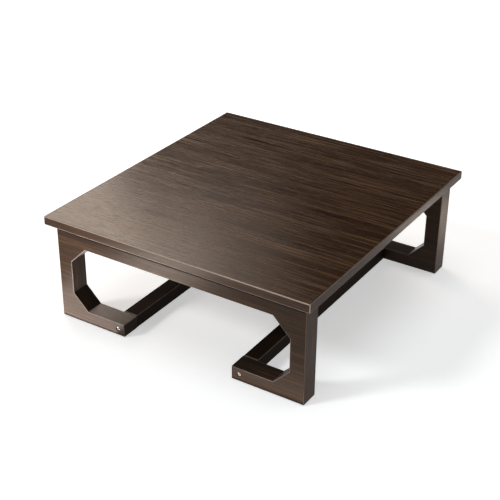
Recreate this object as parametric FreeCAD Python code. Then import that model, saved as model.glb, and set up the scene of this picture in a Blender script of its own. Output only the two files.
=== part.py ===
import FreeCAD, Part
import math
import os

# Low floor table: a banded panel top on two cut-out leg frames, tied together by two floor rails.
# Millimetres. X runs along the leg frames, Y from the front frame to the back one, Z up.
# The origin is on the floor, under the middle of the top.

# Overall sizes
TOP_WIDTH = 650.0
TOP_DEPTH = 700.0
TABLE_HEIGHT = 250.0

# Tabletop panel, and the solid bands on its four edges
TOP_THICKNESS = 20.0
TOP_SIDE_OVERHANG = 17.0
TOP_END_OVERHANG = 19.0
TOP_BAND_THICKNESS = 3.0
TOP_ARRIS_RADIUS = 2.2

# Leg frames: one thick panel each, whose chamfered opening leaves an apron, two legs and two feet
FRAME_THICKNESS = 45.0
LEG_WIDTH = 35.0
APRON_HEIGHT = 44.0
FOOT_HEIGHT = 30.0
FOOT_LENGTH = 170.0
UPPER_CHAMFER = 40.0
LOWER_CHAMFER = 37.0
FRAME_BAND_THICKNESS = 2.0
FRAME_ARRIS_RADIUS = 1.5

# Floor rails, as high as the feet that they join
RAIL_WIDTH = 35.0
RAIL_ARRIS_RADIUS = 1.5

# Felt pads under the feet
PAD_THICKNESS = 2.0
PAD_DIAMETER = 28.0

# Socket-head bolts, of one pattern in the rails and in the top
BOLT_DIAMETER = 5.0
BOLT_POINT_CHAMFER = 0.8
BOLT_HEAD_DIAMETER = 8.5
BOLT_HEAD_HEIGHT = 5.0
BOLT_HEAD_CHAMFER = 0.5
SOCKET_ACROSS_FLATS = 4.0
SOCKET_DEPTH = 2.5
BOLT_HOLE_CLEARANCE = 0.3
COUNTERBORE_CLEARANCE = 0.6

# Rail joints: a bolt through the foot into a barrel nut in the rail, with a dowel on each side of it
RAIL_HEAD_RECESS = 2.5
RAIL_BOLT_PAST_NUT = 9.0
NUT_DIAMETER = 10.0
NUT_LENGTH = 16.0
NUT_END_DISTANCE = 18.0
NUT_END_CHAMFER = 0.6
NUT_SLOT_WIDTH = 1.6
NUT_SLOT_DEPTH = 2.0
RAIL_DOWEL_DIAMETER = 6.0
RAIL_DOWEL_LENGTH = 30.0
RAIL_DOWEL_OFFSET = 11.0

# Top joints: bolts up through the apron into threaded inserts, and a dowel in the head of each leg
TOP_HEAD_RECESS = 4.0
TOP_BOLT_FROM_CHAMFER = 13.0
TOP_BOLT_ENGAGEMENT = 11.0
INSERT_DIAMETER = 10.0
INSERT_LENGTH = 13.0
INSERT_FLANGE_DIAMETER = 13.0
INSERT_FLANGE_THICKNESS = 1.5
TOP_DOWEL_DIAMETER = 8.0
TOP_DOWEL_LENGTH = 30.0
TOP_DOWEL_IN_TOP = 12.0

# Fits and cuts
DOWEL_END_CHAMFER = 0.8
FIT_CLEARANCE = 0.05
HOLE_END_CLEARANCE = 0.8
CUT_OVERRUN = 5.0

# Places that follow from the sizes, measured from the middle of the table
FRAME_HALF_WIDTH = TOP_WIDTH / 2 - TOP_SIDE_OVERHANG
FRAME_OUTER_Y = TOP_DEPTH / 2 - TOP_END_OVERHANG
FRAME_INNER_Y = FRAME_OUTER_Y - FRAME_THICKNESS
FRAME_MIDDLE_Y = FRAME_OUTER_Y - FRAME_THICKNESS / 2
FRAME_BOTTOM = PAD_THICKNESS
FRAME_TOP = TABLE_HEIGHT - TOP_THICKNESS
APRON_BOTTOM = FRAME_TOP - APRON_HEIGHT
FOOT_TOP = FRAME_BOTTOM + FOOT_HEIGHT
FOOT_END = FRAME_HALF_WIDTH - FOOT_LENGTH
LEG_INNER = FRAME_HALF_WIDTH - LEG_WIDTH
LEG_MIDDLE = FRAME_HALF_WIDTH - LEG_WIDTH / 2
RAIL_MIDDLE = FOOT_END + RAIL_WIDTH / 2
RAIL_AXIS_Z = FRAME_BOTTOM + FOOT_HEIGHT / 2
NUT_Y = FRAME_INNER_Y - NUT_END_DISTANCE

# Bolts and their holes
BOLT_BORE = BOLT_DIAMETER / 2 + BOLT_HOLE_CLEARANCE
COUNTERBORE = BOLT_HEAD_DIAMETER / 2 + COUNTERBORE_CLEARANCE
RAIL_HEAD_Y = FRAME_OUTER_Y - RAIL_HEAD_RECESS
RAIL_SEAT_Y = RAIL_HEAD_Y - BOLT_HEAD_HEIGHT
RAIL_TIP_Y = NUT_Y - RAIL_BOLT_PAST_NUT
TOP_HEAD_Z = APRON_BOTTOM + TOP_HEAD_RECESS
TOP_SEAT_Z = TOP_HEAD_Z + BOLT_HEAD_HEIGHT
TOP_TIP_Z = FRAME_TOP + TOP_BOLT_ENGAGEMENT
TOP_BOLT_X = LEG_INNER - UPPER_CHAMFER - TOP_BOLT_FROM_CHAMFER

FULL_TURN = 360.0
SOCKET_SIDES = 6
SIDES = {"left": -1, "right": 1}
ENDS = {"front": -1, "back": 1}
UP = FreeCAD.Vector(0, 0, 1)


def point(x, y, z):
    return FreeCAD.Vector(x, y, z)


def box(corner, opposite):
    """A box between two opposite corners, given in any order."""
    low = [min(pair) for pair in zip(corner, opposite)]
    size = [abs(b - a) for a, b in zip(corner, opposite)]
    return Part.makeBox(*size, point(*low))


def rod(radius, start, end):
    """A plain round rod from one point to another."""
    axis = end - start
    return Part.makeCylinder(radius, axis.Length, start, axis)


def turned(profile):
    """A turned solid on the Z axis, from the (radius, height) corners of half its section."""
    corners = [point(radius, 0, height) for radius, height in profile]
    section = Part.Face(Part.makePolygon(corners + corners[:1]))
    return Part.Solid(section.revolve(point(0, 0, 0), UP, FULL_TURN))


def placed(solid, base, axis):
    """A copy of a solid that was made on the Z axis, moved to base and pointed along axis."""
    copy = solid.copy()
    copy.Placement = FreeCAD.Placement(base, FreeCAD.Rotation(UP, axis))
    return copy


def lone_solid(shape):
    """The one solid in the result of a cut."""
    if len(shape.Solids) != 1:
        raise ValueError(f"expected one solid, got {len(shape.Solids)}")
    return shape.Solids[0]


def export(node, *solids):
    """Writes one node: a single piece, or a set of like pieces."""
    shape = solids[0] if len(solids) == 1 else Part.makeCompound(solids)
    volume = sum(solid.Volume for solid in shape.Solids)
    print(f"{node}: {len(shape.Solids)} solid, {volume:.0f} mm3, valid {shape.isValid()}")
    shape.exportStep(f"parts/{node}.step")


def corners_of(*places):
    """Every mirror image of places given as (x, y) in the right-hand back quarter."""
    return [(side * x, end * y) for x, y in places for side in SIDES.values() for end in ENDS.values()]


# The top

def top_blank():
    """The finished top as one board with every arris rounded."""
    board = box(
        (-TOP_WIDTH / 2, -TOP_DEPTH / 2, FRAME_TOP),
        (TOP_WIDTH / 2, TOP_DEPTH / 2, TABLE_HEIGHT),
    )
    return board.makeFillet(TOP_ARRIS_RADIUS, board.Edges)


def top_bolt_places():
    """The (x, y) of each bolt between an apron and the top."""
    xs = (-TOP_BOLT_X, 0, TOP_BOLT_X)
    return [(x, end * FRAME_MIDDLE_Y) for end in ENDS.values() for x in xs]


def top_panel(blank):
    """The board inside the bands, with the blind holes for inserts and dowels in its underside."""
    half_width = TOP_WIDTH / 2 - TOP_BAND_THICKNESS
    half_depth = TOP_DEPTH / 2 - TOP_BAND_THICKNESS
    core = blank.common(box((-half_width, -half_depth, FRAME_TOP), (half_width, half_depth, TABLE_HEIGHT)))
    entry = FRAME_TOP - CUT_OVERRUN
    insert_end = FRAME_TOP + INSERT_LENGTH + HOLE_END_CLEARANCE
    flange_seat = FRAME_TOP + INSERT_FLANGE_THICKNESS
    dowel_end = FRAME_TOP + TOP_DOWEL_IN_TOP + HOLE_END_CLEARANCE
    holes = []
    for x, y in top_bolt_places():
        start = point(x, y, entry)
        holes.append(rod(INSERT_DIAMETER / 2 + FIT_CLEARANCE, start, point(x, y, insert_end)))
        holes.append(rod(INSERT_FLANGE_DIAMETER / 2 + FIT_CLEARANCE, start, point(x, y, flange_seat)))
    for x, y in corners_of((LEG_MIDDLE, FRAME_MIDDLE_Y)):
        holes.append(rod(TOP_DOWEL_DIAMETER / 2 + FIT_CLEARANCE, point(x, y, entry), point(x, y, dowel_end)))
    return lone_solid(core.cut(holes))


def top_end_band(blank, end):
    """The band on the front or back edge, over the full width."""
    near = end * (TOP_DEPTH / 2 - TOP_BAND_THICKNESS)
    far = end * TOP_DEPTH / 2
    return lone_solid(blank.common(box((-TOP_WIDTH / 2, near, FRAME_TOP), (TOP_WIDTH / 2, far, TABLE_HEIGHT))))


def top_side_band(blank, side):
    """The band on the left or right edge, between the front and back bands."""
    near = side * (TOP_WIDTH / 2 - TOP_BAND_THICKNESS)
    far = side * TOP_WIDTH / 2
    half_depth = TOP_DEPTH / 2 - TOP_BAND_THICKNESS
    return lone_solid(blank.common(box((near, -half_depth, FRAME_TOP), (far, half_depth, TABLE_HEIGHT))))


# The leg frames

def frame_outline(inset):
    """The (x, z) outline of a frame, with its banded edges set back by inset."""
    mitre = inset * (math.sqrt(2) - 1)
    soffit = APRON_BOTTOM + inset
    foot = FOOT_TOP - inset
    leg = LEG_INNER + inset
    right = [
        (LEG_INNER - UPPER_CHAMFER + mitre, soffit),
        (leg, APRON_BOTTOM - UPPER_CHAMFER + mitre),
        (leg, FOOT_TOP + LOWER_CHAMFER - mitre),
        (LEG_INNER - LOWER_CHAMFER + mitre, foot),
        (FOOT_END + inset, foot),
        (FOOT_END + inset, FRAME_BOTTOM),
        (FRAME_HALF_WIDTH - inset, FRAME_BOTTOM),
        (FRAME_HALF_WIDTH - inset, FRAME_TOP),
    ]
    return right + [(-x, z) for x, z in reversed(right)]


def frame_prism(end, inset):
    """The outline as a panel of the frame's thickness, with square arrises."""
    corners = [point(x, end * FRAME_OUTER_Y, z) for x, z in frame_outline(inset)]
    face = Part.Face(Part.makePolygon(corners + corners[:1]))
    return face.extrude(point(0, -end * FRAME_THICKNESS, 0))


def frame_blank(end):
    """The finished frame as one panel, with the arrises of both faces rounded."""
    panel = frame_prism(end, 0)
    arrises = [edge for edge in panel.Edges if edge.BoundBox.YLength < FRAME_ARRIS_RADIUS]
    return panel.makeFillet(FRAME_ARRIS_RADIUS, arrises)


def rail_bolt_holes(end):
    """The bores and counterbores through both feet of one frame."""
    holes = []
    for side in SIDES.values():
        x = side * RAIL_MIDDLE
        outside = point(x, end * (FRAME_OUTER_Y + CUT_OVERRUN), RAIL_AXIS_Z)
        holes.append(rod(BOLT_BORE, outside, point(x, end * (FRAME_INNER_Y - CUT_OVERRUN), RAIL_AXIS_Z)))
        holes.append(rod(COUNTERBORE, outside, point(x, end * RAIL_SEAT_Y, RAIL_AXIS_Z)))
    return holes


def top_bolt_holes(end):
    """The bores and counterbores up through one apron."""
    holes = []
    for x, y in top_bolt_places():
        if y * end > 0:
            below = point(x, y, APRON_BOTTOM - CUT_OVERRUN)
            holes.append(rod(BOLT_BORE, below, point(x, y, FRAME_TOP + CUT_OVERRUN)))
            holes.append(rod(COUNTERBORE, below, point(x, y, TOP_SEAT_Z)))
    return holes


def rail_dowel_places():
    """The (x, end) of each dowel between a rail and a foot."""
    offsets = (-RAIL_DOWEL_OFFSET, RAIL_DOWEL_OFFSET)
    return [(side * RAIL_MIDDLE + dx, end) for end in ENDS.values() for side in SIDES.values() for dx in offsets]


def rail_dowel_holes():
    """One hole for each rail dowel, half of it in the foot and half in the rail."""
    reach = RAIL_DOWEL_LENGTH / 2 + HOLE_END_CLEARANCE
    radius = RAIL_DOWEL_DIAMETER / 2 + FIT_CLEARANCE
    return [
        rod(
            radius,
            point(x, end * (FRAME_INNER_Y + reach), RAIL_AXIS_Z),
            point(x, end * (FRAME_INNER_Y - reach), RAIL_AXIS_Z),
        )
        for x, end in rail_dowel_places()
    ]


def top_dowel_holes():
    """The holes for the top's dowels in the heads of the legs."""
    bottom = FRAME_TOP + TOP_DOWEL_IN_TOP - TOP_DOWEL_LENGTH - HOLE_END_CLEARANCE
    radius = TOP_DOWEL_DIAMETER / 2 + FIT_CLEARANCE
    return [
        rod(radius, point(x, y, bottom), point(x, y, FRAME_TOP + CUT_OVERRUN))
        for x, y in corners_of((LEG_MIDDLE, FRAME_MIDDLE_Y))
    ]


def leg_frame(blank, end):
    """The panel inside the bands, with all its holes."""
    core = blank.common(frame_prism(end, FRAME_BAND_THICKNESS))
    holes = rail_bolt_holes(end) + top_bolt_holes(end) + rail_dowel_holes() + top_dowel_holes()
    return lone_solid(core.cut(holes))


def side_band_region(end, side):
    """The space of the band on the outer side of one leg."""
    near = side * (FRAME_HALF_WIDTH - FRAME_BAND_THICKNESS)
    return box(
        (near, end * FRAME_INNER_Y, FRAME_BOTTOM),
        (side * FRAME_HALF_WIDTH, end * FRAME_OUTER_Y, FRAME_TOP),
    )


def foot_band_region(end, side):
    """The space of the band on the end of one foot, up to the band that runs over the foot."""
    return box(
        (side * FOOT_END, end * FRAME_INNER_Y, FRAME_BOTTOM),
        (side * (FOOT_END + FRAME_BAND_THICKNESS), end * FRAME_OUTER_Y, FOOT_TOP - FRAME_BAND_THICKNESS),
    )


def opening_band(blank, end):
    """The band that lines the opening, over both feet, up the legs and along the apron."""
    others = [frame_prism(end, FRAME_BAND_THICKNESS)] + top_bolt_holes(end)
    for side in SIDES.values():
        others.append(side_band_region(end, side))
        others.append(foot_band_region(end, side))
    return lone_solid(blank.cut(others))


# The rails

def floor_rail(side):
    """A rail between the two frames, with a bolt, a barrel nut and two dowels at each end."""
    x = side * RAIL_MIDDLE
    bar = box(
        (x - RAIL_WIDTH / 2, -FRAME_INNER_Y, FRAME_BOTTOM),
        (x + RAIL_WIDTH / 2, FRAME_INNER_Y, FOOT_TOP),
    )
    long_edges = [edge for edge in bar.Edges if edge.BoundBox.YLength > FRAME_INNER_Y]
    bar = bar.makeFillet(RAIL_ARRIS_RADIUS, long_edges)
    holes = rail_dowel_holes()
    for end in ENDS.values():
        mouth = point(x, end * (FRAME_INNER_Y + CUT_OVERRUN), RAIL_AXIS_Z)
        holes.append(rod(BOLT_BORE, mouth, point(x, end * (RAIL_TIP_Y - HOLE_END_CLEARANCE), RAIL_AXIS_Z)))
        below = point(x, end * NUT_Y, FRAME_BOTTOM - CUT_OVERRUN)
        nut_top = point(x, end * NUT_Y, RAIL_AXIS_Z + NUT_LENGTH / 2)
        holes.append(rod(NUT_DIAMETER / 2 + FIT_CLEARANCE, below, nut_top))
    return lone_solid(bar.cut(holes))


# Fasteners, dowels and pads

def socket_bolt(length):
    """A socket-head bolt that points up, with the top of its head at the origin."""
    head = BOLT_HEAD_DIAMETER / 2
    shank = BOLT_DIAMETER / 2
    tip = BOLT_HEAD_HEIGHT + length
    body = turned([
        (0, 0),
        (head - BOLT_HEAD_CHAMFER, 0),
        (head, BOLT_HEAD_CHAMFER),
        (head, BOLT_HEAD_HEIGHT),
        (shank, BOLT_HEAD_HEIGHT),
        (shank, tip - BOLT_POINT_CHAMFER),
        (shank - BOLT_POINT_CHAMFER, tip),
        (0, tip),
    ])
    corner = SOCKET_ACROSS_FLATS / 2 / math.cos(math.pi / SOCKET_SIDES)
    angles = [2 * math.pi * k / SOCKET_SIDES for k in range(SOCKET_SIDES)]
    corners = [point(corner * math.cos(a), corner * math.sin(a), 0) for a in angles]
    socket = Part.Face(Part.makePolygon(corners + corners[:1])).extrude(UP * SOCKET_DEPTH)
    return lone_solid(body.cut(socket))


def dowel(diameter, length):
    """A wooden dowel that stands on the origin, with both ends eased."""
    radius = diameter / 2
    eased = radius - DOWEL_END_CHAMFER
    return turned([
        (0, 0),
        (eased, 0),
        (radius, DOWEL_END_CHAMFER),
        (radius, length - DOWEL_END_CHAMFER),
        (eased, length),
        (0, length),
    ])


def threaded_insert():
    """A flanged insert that stands on the origin, flange down, bored for the bolt."""
    bore = BOLT_DIAMETER / 2 + FIT_CLEARANCE
    flange = INSERT_FLANGE_DIAMETER / 2
    return turned([
        (bore, 0),
        (flange, 0),
        (flange, INSERT_FLANGE_THICKNESS),
        (INSERT_DIAMETER / 2, INSERT_FLANGE_THICKNESS),
        (INSERT_DIAMETER / 2, INSERT_LENGTH),
        (bore, INSERT_LENGTH),
    ])


def barrel_nut():
    """A barrel nut around the origin, upright, with its cross bore along Y and a slot in its lower end."""
    radius = NUT_DIAMETER / 2
    half = NUT_LENGTH / 2
    body = turned([
        (0, -half),
        (radius - NUT_END_CHAMFER, -half),
        (radius, NUT_END_CHAMFER - half),
        (radius, half - NUT_END_CHAMFER),
        (radius - NUT_END_CHAMFER, half),
        (0, half),
    ])
    bore = rod(BOLT_DIAMETER / 2 + FIT_CLEARANCE, point(0, -NUT_DIAMETER, 0), point(0, NUT_DIAMETER, 0))
    slot = box(
        (-NUT_SLOT_WIDTH / 2, -NUT_DIAMETER, -half - CUT_OVERRUN),
        (NUT_SLOT_WIDTH / 2, NUT_DIAMETER, NUT_SLOT_DEPTH - half),
    )
    return lone_solid(body.cut([bore, slot]))


def export_top():
    blank = top_blank()
    export("tabletop_panel", top_panel(blank))
    for name, end in ENDS.items():
        export(f"top_edge_band_{name}", top_end_band(blank, end))
    for name, side in SIDES.items():
        export(f"top_edge_band_{name}", top_side_band(blank, side))


def export_frames():
    for end_name, end in ENDS.items():
        blank = frame_blank(end)
        export(f"{end_name}_leg_frame", leg_frame(blank, end))
        export(f"{end_name}_opening_band", opening_band(blank, end))
        for side_name, side in SIDES.items():
            side_band = blank.common(side_band_region(end, side))
            export(f"{end_name}_{side_name}_side_band", lone_solid(side_band))
            foot_band = blank.common(foot_band_region(end, side))
            export(f"{end_name}_{side_name}_foot_end_band", lone_solid(foot_band))


def export_rails():
    for name, side in SIDES.items():
        export(f"{name}_floor_rail", floor_rail(side))


def export_rail_fixings():
    bolt = socket_bolt(RAIL_SEAT_Y - RAIL_TIP_Y)
    nut = barrel_nut()
    pin = dowel(RAIL_DOWEL_DIAMETER, RAIL_DOWEL_LENGTH)
    bolts = []
    nuts = []
    for x, y in corners_of((RAIL_MIDDLE, RAIL_HEAD_Y)):
        bolts.append(placed(bolt, point(x, y, RAIL_AXIS_Z), point(0, -y, 0)))
    for x, y in corners_of((RAIL_MIDDLE, NUT_Y)):
        nuts.append(placed(nut, point(x, y, RAIL_AXIS_Z), UP))
    pin_start = FRAME_INNER_Y + RAIL_DOWEL_LENGTH / 2
    pins = [
        placed(pin, point(x, end * pin_start, RAIL_AXIS_Z), point(0, -end, 0))
        for x, end in rail_dowel_places()
    ]
    export("rail_bolts", *bolts)
    export("rail_barrel_nuts", *nuts)
    export("rail_dowels", *pins)


def export_top_fixings():
    bolt = socket_bolt(TOP_TIP_Z - TOP_SEAT_Z)
    insert = threaded_insert()
    pin = dowel(TOP_DOWEL_DIAMETER, TOP_DOWEL_LENGTH)
    pin_bottom = FRAME_TOP + TOP_DOWEL_IN_TOP - TOP_DOWEL_LENGTH
    places = top_bolt_places()
    export("top_bolts", *[placed(bolt, point(x, y, TOP_HEAD_Z), UP) for x, y in places])
    export("top_threaded_inserts", *[placed(insert, point(x, y, FRAME_TOP), UP) for x, y in places])
    heads = corners_of((LEG_MIDDLE, FRAME_MIDDLE_Y))
    export("top_dowels", *[placed(pin, point(x, y, pin_bottom), UP) for x, y in heads])


def export_pads():
    places = corners_of((LEG_MIDDLE, FRAME_MIDDLE_Y), (RAIL_MIDDLE, FRAME_MIDDLE_Y))
    pads = [rod(PAD_DIAMETER / 2, point(x, y, 0), point(x, y, PAD_THICKNESS)) for x, y in places]
    export("felt_pads", *pads)


os.makedirs("parts", exist_ok=True)
export_top()
export_frames()
export_rails()
export_rail_fixings()
export_top_fixings()
export_pads()
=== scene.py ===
# %% [markdown]
# # A low walnut table
# The table is a flat panel top on two cut-out leg frames, tied together at the floor by two rails.
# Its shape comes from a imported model, which is loaded first and never moved. What this lesson adds is
# the look: the grain and sheen of a dark walnut finish, the pale arrises, the bright bolt heads, the
# felt under the feet, and the studio that shows them.

# %% Load the fixed frame
import math

import bpy
from mathutils import Matrix, Vector


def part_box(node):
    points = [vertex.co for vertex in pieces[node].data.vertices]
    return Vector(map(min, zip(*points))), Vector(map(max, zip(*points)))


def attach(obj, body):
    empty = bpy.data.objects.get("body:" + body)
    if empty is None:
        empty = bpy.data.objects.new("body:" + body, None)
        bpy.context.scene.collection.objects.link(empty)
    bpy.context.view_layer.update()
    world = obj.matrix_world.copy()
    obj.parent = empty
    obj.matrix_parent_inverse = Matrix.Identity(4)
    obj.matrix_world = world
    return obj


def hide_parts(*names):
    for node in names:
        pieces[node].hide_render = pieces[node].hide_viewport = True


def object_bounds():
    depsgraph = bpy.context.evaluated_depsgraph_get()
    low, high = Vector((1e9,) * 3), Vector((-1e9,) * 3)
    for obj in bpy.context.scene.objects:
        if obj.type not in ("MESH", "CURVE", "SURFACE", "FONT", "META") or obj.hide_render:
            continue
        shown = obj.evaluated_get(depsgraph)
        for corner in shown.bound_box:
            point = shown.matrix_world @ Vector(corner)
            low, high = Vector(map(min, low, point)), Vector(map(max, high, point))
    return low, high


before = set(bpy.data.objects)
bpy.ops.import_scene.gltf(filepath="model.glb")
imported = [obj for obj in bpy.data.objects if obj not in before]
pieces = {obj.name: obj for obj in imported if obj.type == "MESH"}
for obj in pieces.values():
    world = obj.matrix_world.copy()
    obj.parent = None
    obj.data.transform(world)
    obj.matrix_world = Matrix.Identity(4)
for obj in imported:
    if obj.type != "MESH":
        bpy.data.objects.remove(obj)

cad_low, cad_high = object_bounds()
MM = 0.001
print("pieces in the frame:", len(pieces), "size in mm:", [round(s / MM) for s in cad_high - cad_low])

# %% [markdown]
# ## Three small helpers
# Every material and every Geometry Nodes tree below is a graph of nodes. One function adds a node, sets
# its properties and fills its inputs, each with a value or with a link from another node. Colours are
# written as the hex values a picture editor shows, and turned into the linear values Blender works in.

# %% Helpers for node trees and colours
def linear(hex_colour):
    """An sRGB hex colour as linear red, green, blue and alpha."""
    channels = [int(hex_colour[i:i + 2], 16) / 255 for i in (1, 3, 5)]
    return [c / 12.92 if c <= 0.04045 else ((c + 0.055) / 1.055) ** 2.4 for c in channels] + [1.0]


def add_node(tree, kind, inputs=None, stops=(), **settings):
    """Adds one node. inputs maps a socket's name or number to a value, to an output, or to a node, whose
    first output is linked. stops are the positions and hex colours of a colour ramp."""
    node = tree.nodes.new(kind)
    for name, value in settings.items():
        setattr(node, name, value)
    for socket, value in (inputs or {}).items():
        if isinstance(value, bpy.types.Node):
            value = value.outputs[0]
        if isinstance(value, bpy.types.NodeSocket):
            tree.links.new(value, node.inputs[socket])
        else:
            node.inputs[socket].default_value = value
    for number, (position, colour) in enumerate(stops):
        if number >= len(node.color_ramp.elements):
            node.color_ramp.elements.new(position)
        node.color_ramp.elements[number].position = position
        node.color_ramp.elements[number].color = linear(colour)
    return node


def new_material(name):
    """An empty node material, with the tree that it is built in."""
    material = bpy.data.materials.new(name)
    material.use_nodes = True
    material.node_tree.nodes.clear()
    return material, material.node_tree


print("walnut brown in linear light:", [round(c, 3) for c in linear("#3a2718")])

# %% [markdown]
# ## The camera
# The camera stands to the right of the front and looks down on the table. Its angles, its roll and its
# focal length were fitted to the straight edges of the table. The table's reference point, on the floor
# under the middle of the top, lies a little right of and below the centre of the view.

# %% Camera
AZIMUTH = math.radians(32.39)
ELEVATION = math.radians(28.99)
ROLL = math.radians(0.47)
IMAGE_PIXELS = 500
FOCAL_PIXELS = 1130.9
SENSOR_MM = 36.0
TABLE_RIGHT, TABLE_BELOW, TABLE_AHEAD = 0.0242, 0.0921, 2.6160

turn = Matrix.Rotation(AZIMUTH, 3, "Z") @ Matrix.Rotation(math.pi / 2 - ELEVATION, 3, "X")
turn = turn @ Matrix.Rotation(ROLL, 3, "Z")
right, up, back = turn.col
camera = bpy.data.objects.new("camera", bpy.data.cameras.new("camera"))
camera.data.sensor_width = SENSOR_MM
camera.data.lens = FOCAL_PIXELS * SENSOR_MM / IMAGE_PIXELS
camera.location = back * TABLE_AHEAD + up * TABLE_BELOW - right * TABLE_RIGHT
camera.rotation_euler = turn.to_euler()
bpy.context.scene.collection.objects.link(camera)
bpy.context.scene.camera = camera
print("camera at", [round(c, 3) for c in camera.location], "lens", round(camera.data.lens, 1), "mm")

# %% [markdown]
# ## Floor and backdrop
# The table stands on a plain white floor. Far away, the floor meets a pale wall all round, so that a view
# from near the ground still ends in a pale backdrop. The floor's paint is lifted to white for the eye and
# for reflections, but not for the light that it throws back. So the background turns white, the shadow
# stays, and the table gets no more light. The wall fades upwards: a lacquered top seen from above mirrors
# what stands behind it, and a tall white wall would veil the dark wood.

# %% Paint for the floor and the wall
FLOOR_WHITE = "#e4e6e7"
FLOOR_LIFT = 0.50
WALL_HEIGHT = 4.6
WALL_GLOW_BELOW, WALL_GLOW_ABOVE = 1.0, 0.25

floor_paint, tree = new_material("matt_white_floor_paint")
matt = add_node(tree, "ShaderNodeBsdfDiffuse", {"Color": linear(FLOOR_WHITE)})
ray = add_node(tree, "ShaderNodeLightPath").outputs
mirrored = add_node(tree, "ShaderNodeMath", {0: ray["Is Glossy Ray"], 1: ray["Is Transmission Ray"]},
                    operation="MAXIMUM")
seen = add_node(tree, "ShaderNodeMath", {0: ray["Is Camera Ray"], 1: mirrored}, operation="MAXIMUM")
lift = add_node(tree, "ShaderNodeMath", {0: seen, 1: FLOOR_LIFT}, operation="MULTIPLY")
lifted = add_node(tree, "ShaderNodeEmission", {"Strength": lift})
pale = add_node(tree, "ShaderNodeAddShader", {0: matt, 1: lifted})
add_node(tree, "ShaderNodeOutputMaterial", {"Surface": pale})

wall_paint, tree = new_material("glowing_wall_paint")
place = add_node(tree, "ShaderNodeTexCoord")
height = add_node(tree, "ShaderNodeSeparateXYZ", {0: place.outputs["Object"]})
fade = add_node(tree, "ShaderNodeMapRange", {
    "Value": height.outputs["Z"], "From Max": WALL_HEIGHT, "To Min": WALL_GLOW_BELOW,
    "To Max": WALL_GLOW_ABOVE}, interpolation_type="SMOOTHSTEP")
glow = add_node(tree, "ShaderNodeEmission", {"Strength": fade})
add_node(tree, "ShaderNodeOutputMaterial", {"Surface": glow})
print("studio paints:", floor_paint.name, "and", wall_paint.name)

# %% Floor and wall
FLOOR_RADIUS = 16.0
AROUND = 64


def add_stage(name, points, faces, paint):
    """Adds a piece of the studio in its paint."""
    mesh = bpy.data.meshes.new(name)
    mesh.from_pydata(points, [], faces)
    mesh.materials.append(paint)
    stage = bpy.data.objects.new(name, mesh)
    bpy.context.scene.collection.objects.link(stage)
    return stage


steps = [2 * math.pi * k / AROUND for k in range(AROUND)]
rim = [(FLOOR_RADIUS * math.cos(a), FLOOR_RADIUS * math.sin(a), 0) for a in steps]
top_rim = [(x, y, WALL_HEIGHT) for x, y, _ in rim]
wall_faces = [(k, k + AROUND, (k + 1) % AROUND + AROUND, (k + 1) % AROUND) for k in range(AROUND)]
add_stage("floor", rim, [range(AROUND)], floor_paint)
wall = add_stage("wall", rim + top_rim, wall_faces, wall_paint)
wall.visible_shadow = False
wall_angle = math.degrees(math.atan(WALL_HEIGHT / FLOOR_RADIUS))
print("floor radius", FLOOR_RADIUS, "m, wall seen up to", round(wall_angle, 1), "degrees")

# %% [markdown]
# ## Light
# Three suns light everything evenly: a key from the upper left and in front, which casts the soft shadow,
# one overhead, and a fill from behind on the right. They alone would leave the wood flat, because lacquer
# looks like lacquer only by what it mirrors. A tall window stands at the left, behind the table, where the
# left end of the top mirrors it. The sheen there fades to plain dark wood at the right, and two narrow
# wings beside the window soften the change. Small cards on the floor do the same for the upright faces: a
# far and a near one for the apron and the left foot, a weak one for the right foot, and one at the right
# side for the back leg.

# %% World, and a helper for lamps
WORLD_LIGHT = 0.015
world = bpy.data.worlds.new("studio")
world.use_nodes = True
world.node_tree.nodes["Background"].inputs["Color"].default_value = (1, 1, 1, 1)
world.node_tree.nodes["Background"].inputs["Strength"].default_value = WORLD_LIGHT
bpy.context.scene.world = world
bpy.context.scene.view_settings.view_transform = "Standard"


def add_lamp(name, kind, place, target, **settings):
    """Adds a lamp at a place, shining at a target."""
    lamp = bpy.data.objects.new(name, bpy.data.lights.new(name, kind))
    for setting, value in settings.items():
        setattr(lamp.data, setting, value)
    lamp.location = place
    lamp.rotation_euler = (Vector(target) - Vector(place)).to_track_quat("-Z", "Y").to_euler()
    lamp.visible_camera = False
    bpy.context.scene.collection.objects.link(lamp)


print("world light:", WORLD_LIGHT)

# %% Suns, windows and cards
WARM = linear("#ffebda")[:3]
PALE = linear("#fff8f3")[:3]
# Where each sun stands as seen from the table, its strength, and how many degrees wide it is.
SUNS = {
    "key": ((-1.04, -1.24, 1.18), 1.32, 12),
    "overhead": ((0.0, -0.2, 2.0), 0.90, 40),
    "fill": ((1.2, 0.9, 1.2), 0.45, 60),
}
# Each window's place in metres, its width and height, and its power in watts.
WINDOWS = {
    "window": ((-2.15, 1.14, 1.73), (1.45, 1.72), 30.0),
    "window_wing": ((-1.54, 1.6, 2.01), (0.52, 1.0), 4.9),
    "faint_wing": ((-1.30, 1.90, 1.95), (0.40, 1.0), 1.1),
}
# Each card's place on the floor in metres, its width and depth, its power in watts, and its colour.
CARDS = {
    "far_card": ((-0.235, -0.64), (0.19, 0.24), 2.3, WARM),
    "near_card": ((-0.275, -0.422), (0.23, 0.18), 0.78, PALE),
    "right_card": ((0.22, -0.37), (0.20, 0.07), 0.09, WARM),
    "side_card": ((0.48, 0.53), (0.22, 0.26), 0.44, WARM),
}
CARD_LIFT = 5 * MM
UPWARDS = Vector((0, 0, 1))
TABLE_FOOT = Vector((0, 0, 0))
TABLE_MIDDLE = (cad_low + cad_high) / 2

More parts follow.
